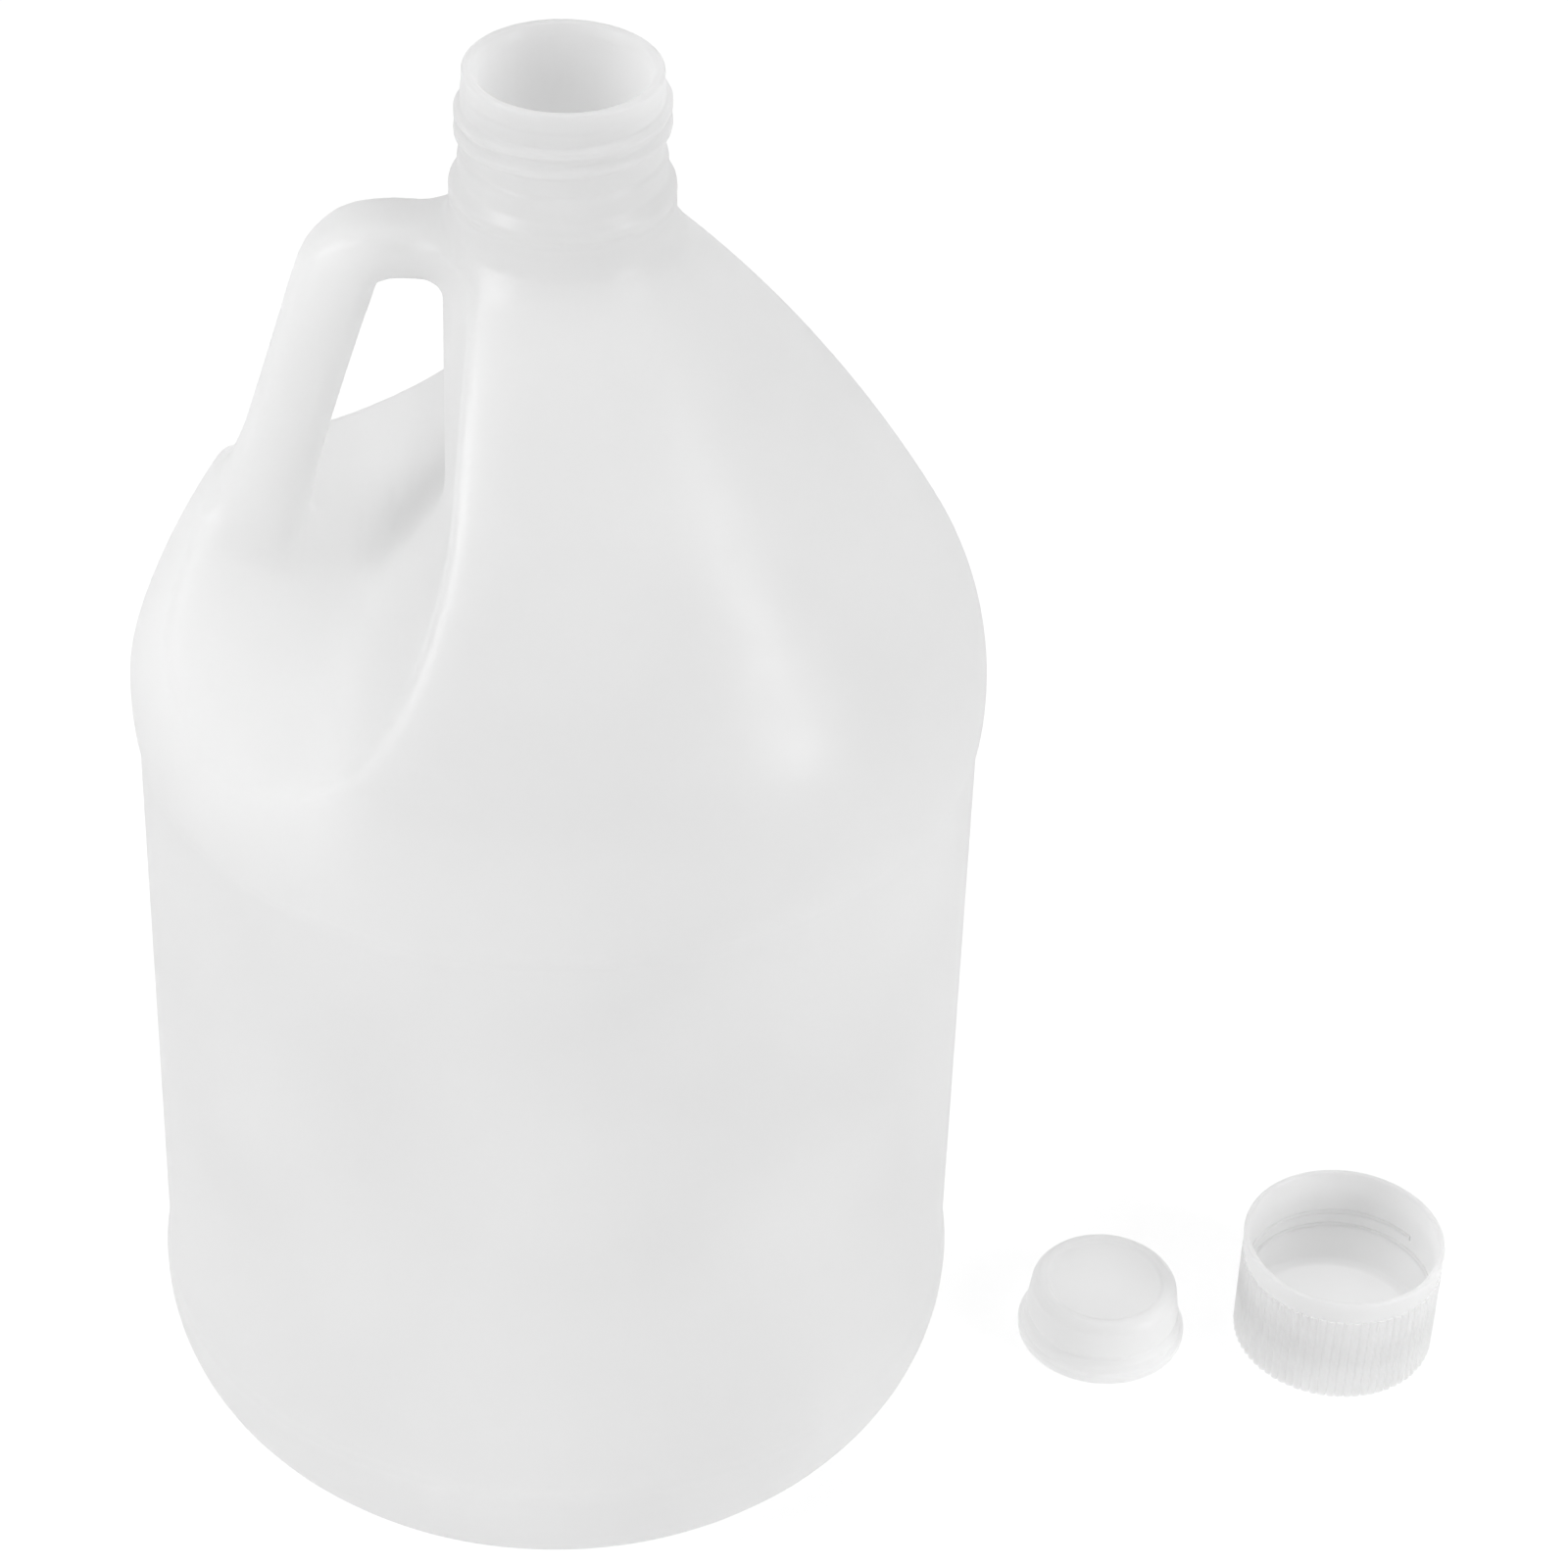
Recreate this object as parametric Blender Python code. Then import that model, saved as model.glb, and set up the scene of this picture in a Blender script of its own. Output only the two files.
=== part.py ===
"""A round plastic jug with a hollow side handle, with its ribbed screw cap and its inner plug beside it on the floor.

All sizes are in millimetres and turned into metres when a mesh is built. The jug stands with its axis at JUG_X, the
handle points to -X, and the floor is at z = 0. The jug is built as an outer solid less an inner one, and both come from
the same functions, the inner one set back by the wall.
"""

import math

import bmesh
import bpy
from mathutils import Vector

MM = 0.001

# Where the three pieces stand
JUG_X = -51.65
PLUG_AT = (61.45, 7.5)
CAP_AT = (110.05, 9.9)

# Body
WALL = 1.6
STEPS = 48
INNER_STEPS = 44
BASE_DISH_R = 36.0
BASE_DISH_Z = 3.6
FOOT_IN_R = 43.0
FOOT_OUT_R = 49.6
HEEL_R = 29.3
PANEL_R = 78.0
PANEL_LOW_Z = 33.0
PANEL_TOP_Z = 161.5
BULGE_R = 79.12
BULGE_Z = 169.75
SHOULDER_ARC_1 = (54.0, 29.2)
SHOULDER_ARC_2 = (297.0, 45.5)

# Neck
NECK_R = 19.8
BAND_R = 18.2
ROOT_R = 17.6
LIP_R = 17.4
BORE_R = 14.8
TOP_Z = 295.0
NECK_Z = 265.4
STEP_Z = 274.0
WAIST_Z = 279.0
THREAD_R = 18.75
THREAD_PITCH = 3.55
THREAD_LOW_Z = 281.9
THREAD_TURNS = 2.1
THREAD_START = math.radians(34.0)

# Grip pocket on each side of the handle. Both are drawn in the handle's own frame: u runs from the jug's axis out along
# the handle, w sideways towards the front, z up. HANDLE_TURN turns that frame from -X towards the back.
HANDLE_TURN = math.radians(3.5)
POCKET_U = 13.9
POCKET_BEND_Z = 232.0
POCKET_LOW = (50.0, 182.3)
POCKET_TOP_Z = 262.0
POCKET_FAR_U = 90.0
POCKET_ROUNDNESS = 1.8
POCKET_DRAFT = 80.0
POCKET_BLEND = 5.0
CREASE_U = 37.0
CREASE_Z = 188.8
CREASE_FALL = 0.048
SHELF_SLOPE = 0.7
SHELF_LEVEL_W = 45.0
RIDGE_W = 8.0
LAND = ((56.0, 217.1), (80.0, 177.7))
COLUMN_R = 20.9
COLUMN_Z = (196.0, 262.6)

# Handle: stations along its middle line as (u, z, half of its depth, half of its width)
HANDLE = (
    (15.0, 259.2, 5.0, 8.2),
    (24.0, 259.2, 5.0, 8.2),
    (31.0, 258.8, 5.3, 8.2),
    (36.3, 256.6, 6.4, 8.2),
    (39.3, 252.7, 7.2, 8.2),
    (40.9, 248.3, 7.3, 8.2),
    (43.5, 239.7, 7.2, 8.2),
    (48.0, 224.4, 7.2, 8.4),
    (51.1, 213.9, 7.4, 9.0),
    (53.6, 206.0, 8.2, 10.0),
    (56.6, 198.0, 9.4, 11.4),
    (59.0, 190.0, 9.6, 12.0),
)
HANDLE_SIDES = 14
HANDLE_SQUARENESS = 2.5

# Cap, lying on its closed end
CAP_R = 20.3
CAP_RIM_R = 20.7
CAP_H = 26.0
CAP_WALL = 1.4
CAP_BAND_H = 5.2
CAP_RIBS = 60
CAP_RIB_DEPTH = 0.5

# Plug, lying on its flange
PLUG_FLANGE_R = 17.3
PLUG_FLANGE_H = 2.0
PLUG_GROOVE_R = 15.2
PLUG_BEAD_R = 16.3
PLUG_TOP_R = 14.6
PLUG_H = 13.8
PLUG_DISC_R = 9.3
PLUG_WALL = 1.3


def clear_scene():
    for obj in list(bpy.data.objects):
        bpy.data.objects.remove(obj, do_unlink=True)


def plastic(name, colour, roughness):
    material = bpy.data.materials.new(name)
    material.use_nodes = True
    shader = material.node_tree.nodes["Principled BSDF"]
    shader.inputs["Base Color"].default_value = (*colour, 1.0)
    shader.inputs["Roughness"].default_value = roughness
    return material


def place(u, w, z):
    """A point of the handle's frame, as a vector in metres from the foot of the jug's axis."""
    c, s = math.cos(HANDLE_TURN), math.sin(HANDLE_TURN)
    return Vector((-u * c - w * s, u * s - w * c, z)) * MM


def add_object(name, mesh):
    obj = bpy.data.objects.new(name, mesh)
    bpy.context.scene.collection.objects.link(obj)
    return obj


def mesh_from(bm, name):
    """A closed mesh of triangles facing out, with doubled points and faces of no area taken out."""
    bmesh.ops.remove_doubles(bm, verts=bm.verts, dist=0.000002)
    bmesh.ops.dissolve_degenerate(bm, edges=bm.edges, dist=0.000002)
    bmesh.ops.triangulate(bm, faces=bm.faces)
    bmesh.ops.recalc_face_normals(bm, faces=bm.faces)
    mesh = bpy.data.meshes.new(name)
    bm.to_mesh(mesh)
    bm.free()
    return mesh


def bake(obj):
    """Turns the modifiers of an object into its mesh."""
    graph = bpy.context.evaluated_depsgraph_get()
    mesh = bpy.data.meshes.new_from_object(obj.evaluated_get(graph))
    obj.modifiers.clear()
    obj.data = mesh
    return obj


def tidy(obj):
    bm = bmesh.new()
    bm.from_mesh(obj.data)
    obj.data = mesh_from(bm, obj.name)
    return obj


def revolved(name, profile, steps=STEPS, centre=(0.0, 0.0)):
    """A solid of revolution from (radius, z) pairs, spun by a Screw modifier about the upright axis."""
    bm = bmesh.new()
    points = [bm.verts.new((r * MM, 0.0, z * MM)) for r, z in profile]
    for a, b in zip(points, points[1:]):
        bm.edges.new((a, b))
    mesh = bpy.data.meshes.new(name)
    bm.to_mesh(mesh)
    bm.free()
    obj = add_object(name, mesh)
    screw = obj.modifiers.new("spin", "SCREW")
    screw.axis = "Z"
    screw.steps = screw.render_steps = steps
    screw.use_merge_vertices = True
    screw.merge_threshold = 0.00001
    tidy(bake(obj))
    obj.location = (centre[0] * MM, centre[1] * MM, 0.0)
    return obj


def combine(target, tool, operation):
    """Cuts or joins a tool into a target, and takes the tool out of the scene."""
    bpy.context.view_layer.update()
    modifier = target.modifiers.new(operation.lower(), "BOOLEAN")
    modifier.operation = operation
    modifier.solver = "EXACT"
    modifier.object = tool
    bake(target)
    bpy.data.objects.remove(tool, do_unlink=True)
    return tidy(target)


def lofted(name, rings):
    """A closed solid through rings of points in metres, each ring with the same number of points."""
    bm = bmesh.new()
    loops = [[bm.verts.new(point) for point in ring] for ring in rings]
    count = len(loops[0])
    for low, high in zip(loops, loops[1:]):
        for i in range(count):
            j = (i + 1) % count
            bm.faces.new((low[i], low[j], high[j], high[i]))
    bm.faces.new(loops[0])
    bm.faces.new(loops[-1])
    return add_object(name, mesh_from(bm, name))


def arc(centre_r, centre_z, radius, start, end, count):
    """Points (r, z) on an arc, with its angles in degrees up from level."""
    points = []
    for i in range(count + 1):
        angle = math.radians(start + (end - start) * i / count)
        points.append((centre_r + radius * math.cos(angle), centre_z + radius * math.sin(angle)))
    return points


def shoulder(inset, count_1, count_2):
    """The two arcs of the shoulder, from just above the panel up to the neck."""
    radius_1, turn_1 = SHOULDER_ARC_1
    radius_2, turn_2 = SHOULDER_ARC_2
    centre_r = BULGE_R - radius_1
    points = arc(centre_r, BULGE_Z, radius_1 - inset, -6.5, turn_1, count_1)
    turn = math.radians(turn_1)
    centre_2_r = centre_r + (radius_1 - radius_2) * math.cos(turn)
    centre_2_z = BULGE_Z + (radius_1 - radius_2) * math.sin(turn)
    return points + arc(centre_2_r, centre_2_z, radius_2 - inset, turn_1, turn_2, count_2)[1:]


def outer_profile():
    """The outside of the jug from the middle of its base up to the middle of its closed top."""
    heel = arc(FOOT_OUT_R, HEEL_R, HEEL_R, -90.0, 0.0, 7)
    points = [(0.0, BASE_DISH_Z), (BASE_DISH_R, BASE_DISH_Z), (FOOT_IN_R - 1.5, 0.6), (FOOT_IN_R, 0.0)]
    points += heel
    points += [(PANEL_R + 0.9, PANEL_LOW_Z - 1.5), (PANEL_R + 0.1, PANEL_LOW_Z), (PANEL_R, PANEL_LOW_Z + 4.0)]
    points += [(PANEL_R, PANEL_TOP_Z - 1.0)]
    points += shoulder(0.0, 8, 6)
    points += [(NECK_R + 0.5, NECK_Z - 1.2), (NECK_R, NECK_Z), (NECK_R, 270.6), (NECK_R - 0.3, 271.2)]
    points += [(NECK_R, 271.8), (NECK_R - 0.1, STEP_Z - 0.6), (NECK_R - 0.7, STEP_Z), (BAND_R, STEP_Z + 0.9)]
    points += [(BAND_R, WAIST_Z), (ROOT_R, WAIST_Z + 0.5), (ROOT_R, 290.8), (LIP_R, 291.2)]
    points += [(LIP_R, TOP_Z - 0.6), (LIP_R - 0.6, TOP_Z), (0.0, TOP_Z)]
    return points


def inner_profile():
    """The inside of the jug, set back by the wall, from the middle of its floor up past the mouth."""
    heel = arc(FOOT_OUT_R, HEEL_R, HEEL_R - WALL, -90.0, 0.0, 5)
    points = [(0.0, BASE_DISH_Z + WALL), (BASE_DISH_R, BASE_DISH_Z + WALL), (FOOT_IN_R, WALL)]
    points += heel
    points += [(PANEL_R - WALL, PANEL_LOW_Z + 2.0), (PANEL_R - WALL, PANEL_TOP_Z + 0.8)]
    points += shoulder(WALL, 6, 5)[:-1]
    points += [(17.9, 262.6), (17.4, 266.0), (17.2, 271.0), (BORE_R, 276.5), (BORE_R, TOP_Z - 1.8)]
    points += [(BORE_R + 1.0, TOP_Z - 0.3), (BORE_R + 1.0, TOP_Z + 5.0), (0.0, TOP_Z + 5.0)]
    return points


def smooth_max(a, b, blend):
    share = max(0.0, blend - abs(a - b)) / blend
    return max(a, b) + share * share * blend * 0.25


def pocket_section(w, setback):
    """The lower edge of the grip pocket's opening at w, as (u, z) points from its top at the column out past the body."""
    spread = abs(w)
    push = spread / POCKET_DRAFT
    low_u, low_z = POCKET_LOW
    power = 2.0 / POCKET_ROUNDNESS
    wall = [(POCKET_U - push, POCKET_TOP_Z + 30.0), (POCKET_U - push, 246.0)]
    steps = 12
    for i in range(steps):
        turn = 0.5 * math.pi * (i + 0.35) / steps
        c, s = math.cos(turn), math.sin(turn)
        u = low_u - (low_u - POCKET_U) * c**power
        z = POCKET_BEND_Z - (POCKET_BEND_Z - low_z) * s**power
        wall.append((u - push * c, z - push * s))
    crease_z = CREASE_Z - CREASE_FALL * spread
    slope = SHELF_SLOPE * (1.0 - spread / SHELF_LEVEL_W)
    edge = [(u, smooth_max(z, crease_z + slope * (u - CREASE_U), POCKET_BLEND)) for u, z in wall]
    edge += [(u, crease_z + slope * (u - CREASE_U)) for u in (57.0, 63.0, 70.0, 78.0, POCKET_FAR_U)]
    moved = []
    for i, (u, z) in enumerate(edge):
        before, after = edge[max(0, i - 1)], edge[min(len(edge) - 1, i + 1)]
        du, dz = after[0] - before[0], after[1] - before[1]
        length = math.hypot(du, dz)
        moved.append((u + setback * dz / length, z - setback * du / length))
    return moved


def pocket_cutter(setback):
    """The block that takes the grip pockets and the gap behind the handle out of the body, lofted from side to side."""
    half = [RIDGE_W, 14.0, 22.0, 32.0, 42.0, 50.0, 57.0, 63.0, 69.0, 90.0]
    rings = []
    for w in [-w for w in half[::-1]] + half:
        edge = pocket_section(w, setback)
        edge.append((POCKET_FAR_U + 1.0, POCKET_TOP_Z + 30.0))
        rings.append([place(u, w, min(z, POCKET_TOP_Z)) for u, z in edge])
    return lofted("pocket", rings)


def handle_rings(setback):
    """Rounded rings along the handle's middle line, each square to it."""
    rings = []
    for i, (u, z, half_depth, half_width) in enumerate(HANDLE):
        before = HANDLE[max(0, i - 1)]
        after = HANDLE[min(len(HANDLE) - 1, i + 1)]
        along = math.hypot(after[0] - before[0], after[1] - before[1])
        out_u = -(after[1] - before[1]) / along
        out_z = (after[0] - before[0]) / along
        ring = []
        for k in range(HANDLE_SIDES):
            angle = 2.0 * math.pi * (k + 0.5) / HANDLE_SIDES
            c, s = math.cos(angle), math.sin(angle)
            power = 2.0 / HANDLE_SQUARENESS
            deep = math.copysign(abs(c) ** power, c) * (half_depth - setback)
            wide = math.copysign(abs(s) ** power, s) * (half_width - setback)
            ring.append(place(u + out_u * deep, wide, z + out_z * deep))
        rings.append(ring)
    return rings


def land_cutter(setback):
    """The block that planes a flat land on the shoulder beyond the handle's foot."""
    (ua, za), (ub, zb) = LAND
    length = math.hypot(ub - ua, zb - za)
    du, dz = setback * (za - zb) / length, setback * (ub - ua) / length
    outline = [(ua - du, za - dz), (ub - du, zb - dz), (ub + 20.0, zb - dz), (ub + 20.0, za - dz)]
    return lofted("land", [[place(u, w, z) for u, z in outline] for w in (-40.0, 40.0)])


def body_solid(name, profile, steps, setback):
    """The jug's solid shape: a turned body, less a pocket on each side of the handle, with the handle joined on."""
    body = revolved(name, profile, steps)
    combine(body, pocket_cutter(setback), "DIFFERENCE")
    combine(body, land_cutter(setback), "DIFFERENCE")
    low, high = COLUMN_Z
    if setback:
        low, high = low + 1.5, 257.0
    radius = COLUMN_R - setback
    column = revolved("column", [(0.0, low), (radius, low), (radius, high), (0.0, high)], 32)
    combine(body, column, "UNION")
    combine(body, lofted("grip", handle_rings(setback)), "UNION")
    return body


def thread():
    """The screw thread as a rib of trapezoid section that thins out at both ends."""
    segments = int(THREAD_TURNS * 32)
    rings = []
    for i in range(segments + 1):
        share = i / segments
        angle = THREAD_START + share * THREAD_TURNS * 2.0 * math.pi
        z = THREAD_LOW_Z + share * THREAD_TURNS * THREAD_PITCH
        fade = min(1.0, 12.0 * min(share, 1.0 - share) + 0.15)
        crest = ROOT_R - 0.2 + (THREAD_R - ROOT_R + 0.2) * fade
        section = [(ROOT_R - 0.6, -1.3), (ROOT_R - 0.1, -1.3), (crest, -0.4), (crest, 0.4)]
        section += [(ROOT_R - 0.1, 1.3), (ROOT_R - 0.6, 1.3)]
        rings.append([Vector((r * math.cos(angle), r * math.sin(angle), z + dz)) * MM for r, dz in section])
    return lofted("thread", rings)


def make_jug():
    jug = body_solid("jug", outer_profile(), STEPS, 0.0)
    combine(jug, thread(), "UNION")
    inside = body_solid("inside", inner_profile(), INNER_STEPS, WALL)
    combine(jug, inside, "DIFFERENCE")
    jug.location = (JUG_X * MM, 0.0, 0.0)
    return jug


def ribbed_ring(radius, depth, z):
    """A ring with a crest and a hollow for each rib."""
    ring = []
    for i in range(2 * CAP_RIBS):
        angle = math.pi * i / CAP_RIBS
        r = radius if i % 2 == 0 else radius - depth
        ring.append(Vector((r * math.cos(angle), r * math.sin(angle), z)) * MM)
    return ring


def make_cap():
    shelf_z = CAP_H - CAP_BAND_H
    grip_r = CAP_R + 0.35
    rings = [
        ribbed_ring(CAP_R - 0.5, 0.0, 0.0),
        ribbed_ring(CAP_R, CAP_RIB_DEPTH, 0.6),
        ribbed_ring(grip_r, CAP_RIB_DEPTH, shelf_z - 0.3),
        ribbed_ring(grip_r - CAP_RIB_DEPTH, 0.0, shelf_z),
        ribbed_ring(CAP_RIM_R - 0.4, 0.0, shelf_z + 0.3),
        ribbed_ring(CAP_RIM_R, 0.0, CAP_H - 0.3),
        ribbed_ring(CAP_RIM_R - 0.3, 0.0, CAP_H),
    ]
    cap = lofted("cap", rings)
    bore = CAP_RIM_R - CAP_WALL
    hollow = [(0.0, CAP_WALL), (bore - 0.5, CAP_WALL), (bore - 0.2, CAP_WALL + 0.4)]
    for i in range(2):
        z = 9.0 + 1.6 * THREAD_PITCH * i
        hollow += [(bore - 0.1, z), (bore - 0.8, z + 0.9), (bore - 0.8, z + 1.5), (bore - 0.1, z + 2.4)]
    hollow += [(bore, CAP_H - 2.0), (bore + 0.6, CAP_H + 1.0), (0.0, CAP_H + 1.0)]
    combine(cap, revolved("cap_hollow", hollow, 36), "DIFFERENCE")
    cap.location = (CAP_AT[0] * MM, CAP_AT[1] * MM, 0.0)
    return cap


def make_plug():
    profile = [(0.0, 0.0), (PLUG_FLANGE_R - 0.3, 0.0), (PLUG_FLANGE_R, 0.3), (PLUG_FLANGE_R, PLUG_FLANGE_H - 0.5)]
    profile += [(PLUG_FLANGE_R - 0.4, PLUG_FLANGE_H), (PLUG_GROOVE_R + 0.2, PLUG_FLANGE_H), (PLUG_GROOVE_R, 2.5)]
    profile += [(PLUG_GROOVE_R + 0.2, 3.1), (PLUG_BEAD_R - 0.2, 3.7), (PLUG_BEAD_R, 4.6), (PLUG_BEAD_R - 0.2, 5.7)]
    profile += [(PLUG_TOP_R + 0.4, 11.6), (PLUG_TOP_R, 12.7), (PLUG_TOP_R - 0.9, 13.5), (PLUG_TOP_R - 2.1, PLUG_H)]
    profile += [(PLUG_DISC_R, PLUG_H), (PLUG_DISC_R - 0.4, PLUG_H - 0.4), (0.0, PLUG_H - 0.4)]
    plug = revolved("plug", profile, 36, PLUG_AT)
    inner = PLUG_GROOVE_R - PLUG_WALL
    top = PLUG_H - 0.4 - PLUG_WALL
    hollow_profile = [(0.0, -1.0), (inner, -1.0), (inner - 0.6, top - 1.5), (inner - 2.0, top), (0.0, top)]
    hollow = revolved("plug_hollow", hollow_profile, 36, PLUG_AT)
    return combine(plug, hollow, "DIFFERENCE")


def finish(obj, material, angle):
    obj.data.materials.clear()
    obj.data.materials.append(material)
    for polygon in obj.data.polygons:
        polygon.material_index = 0
    obj.data.shade_smooth()
    obj.data.set_sharp_from_angle(angle=math.radians(angle))


def main():
    clear_scene()
    natural = plastic("natural_polyethylene", (0.80, 0.80, 0.80), 0.38)
    cap_plastic = plastic("natural_polypropylene", (0.76, 0.76, 0.76), 0.42)
    plug_plastic = plastic("soft_polyethylene", (0.80, 0.80, 0.80), 0.40)
    finish(make_jug(), natural, 35.0)
    finish(make_plug(), plug_plastic, 35.0)
    finish(make_cap(), cap_plastic, 28.0)


main()
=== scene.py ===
"""Dresses a natural plastic jug, its screw cap and its inner plug, standing together on a plain pale floor.

Sizes are in millimetres and are turned into metres when a mesh is made. The jug's axis, the cap's and the
plug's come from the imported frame. The jug's shoulder, grip pockets and handle are one smooth skin, found as
the zero surface of a distance field, and its neck and lower body are turned from the same skin's edges.
"""

import logging
import math
from collections.abc import Callable, Sequence
from dataclasses import dataclass, field, replace
from enum import Enum

import bmesh
import bpy
import numpy as np
from mathutils import Matrix, Vector

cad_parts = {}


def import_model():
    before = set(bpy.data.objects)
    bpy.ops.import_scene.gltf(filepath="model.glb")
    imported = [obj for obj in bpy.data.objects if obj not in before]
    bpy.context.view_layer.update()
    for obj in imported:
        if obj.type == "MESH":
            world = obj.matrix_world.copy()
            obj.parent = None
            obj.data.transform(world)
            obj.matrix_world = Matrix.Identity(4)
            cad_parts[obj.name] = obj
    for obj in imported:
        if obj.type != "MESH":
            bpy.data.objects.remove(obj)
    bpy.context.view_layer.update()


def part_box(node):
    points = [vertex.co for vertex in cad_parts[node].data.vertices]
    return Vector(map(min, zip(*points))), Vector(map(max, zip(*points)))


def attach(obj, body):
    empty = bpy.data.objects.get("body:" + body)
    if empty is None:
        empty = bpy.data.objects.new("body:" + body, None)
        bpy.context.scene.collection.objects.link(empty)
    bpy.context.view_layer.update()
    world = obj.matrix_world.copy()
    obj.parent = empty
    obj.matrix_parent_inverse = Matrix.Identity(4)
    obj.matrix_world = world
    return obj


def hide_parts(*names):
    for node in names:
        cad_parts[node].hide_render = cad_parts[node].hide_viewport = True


MM = 0.001
PHOTO_PX = 1600
# Facets round the cap and round the plug.
FACETS = 160
# Spacing of the flat tables that the jug's distances are read from, in millimetres.
TABLE_STEP = 0.5
# A corner's curve takes less than half of each side, so that two curves never meet.
CORNER_SHARE = 0.45
# Nearly all of a noise pattern's values lie between these two.
NOISE_SPAN = (0.3, 0.7)
# Points nearer than this in metres are one, and a radius below it in millimetres is on the axis.
TINY = 0.000001

Points = np.ndarray
Pair = tuple[float, float]
Place = tuple[float, float, float]
RowRule = Callable[[Points], Points]
FlatRule = Callable[[Points, Points], Points]
SpaceRule = Callable[[Points, Points, Points], Points]
Material = bpy.types.Material
Node = bpy.types.Node
Inputs = dict[str | int, object]
Socket = bpy.types.NodeSocket
Tree = bpy.types.NodeTree

log = logging.getLogger("plastic_jug")


def linear(hex_colour: str) -> tuple[float, float, float, float]:
    """Turns an sRGB hex colour into a linear one.

    Args:
        hex_colour: Six hex digits, such as "e9eae8".

    Returns:
        Linear red, green and blue, with an alpha of one.
    """
    channels = [int(hex_colour[i : i + 2], 16) / 255.0 for i in (0, 2, 4)]
    flat = [c / 12.92 if c <= 0.04045 else ((c + 0.055) / 1.055) ** 2.4 for c in channels]
    return (flat[0], flat[1], flat[2], 1.0)


def fill(node: Node, inputs: Inputs) -> None:
    """Sets a node's input sockets.

    Args:
        node: The node.
        inputs: Values by socket name or number. An output socket makes a link.
    """
    for key, value in inputs.items():
        if isinstance(value, Socket):
            node.id_data.links.new(value, node.inputs[key])
        else:
            node.inputs[key].default_value = value


def add_node(tree: Tree, kind: str, settings: Inputs | None = None, inputs: Inputs | None = None) -> Node:
    """Adds a node.

    Args:
        tree: The tree that the node goes into.
        kind: The node's type, such as "ShaderNodeBump".
        settings: Attributes of the node.
        inputs: Its input sockets, as fill takes them.

    Returns:
        The new node.
    """
    node = tree.nodes.new(kind)
    for key, value in (settings or {}).items():
        setattr(node, key, value)
    fill(node, inputs or {})
    return node


def noise(tree: Tree, place: Socket, size_mm: float, detail: float, fine: float = 0.5) -> Socket:
    """Adds a noise pattern.

    Args:
        tree: The material's tree.
        place: Object coordinates.
        size_mm: Size of the pattern.
        detail: How many finer layers it has.
        fine: How strong each finer layer is, as a share of the one before.

    Returns:
        The pattern's value.
    """
    inputs = {"Vector": place, "Scale": 1.0 / (size_mm * MM), "Detail": detail, "Roughness": fine}
    return add_node(tree, "ShaderNodeTexNoise", inputs=inputs).outputs["Fac"]


def new_material(name: str) -> tuple[Material, Socket]:
    """Starts a material.

    Args:
        name: Its name.

    Returns:
        The material, and the socket that gives its Object coordinates.
    """
    material = bpy.data.materials.new(name)
    material.use_nodes = True
    return material, add_node(material.node_tree, "ShaderNodeTexCoord").outputs["Object"]


class Resin(Enum):
    """The plastics that the pieces are moulded from, with the names of their materials."""

    NATURAL_HDPE = "natural_hdpe_blow_moulded"
    NATURAL_PP = "natural_polypropylene_injection_moulded"
    SLIM_PP = "natural_polypropylene_in_slim_ribs"
    SOFT_LDPE = "soft_ldpe_injection_moulded"


@dataclass(frozen=True)
class Zone:
    """Part of a piece where the colour drifts to another one: round the jug's handle it is painted light, at
    the cap's closed end painted shade.

    Attributes:
        bounds: For each axis that bounds it, "X" or "Z": where the drift starts and ends, in millimetres.
        colour: Hex colour of the zone.
    """

    bounds: tuple[tuple[str, float, float], ...]
    colour: str


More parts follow.
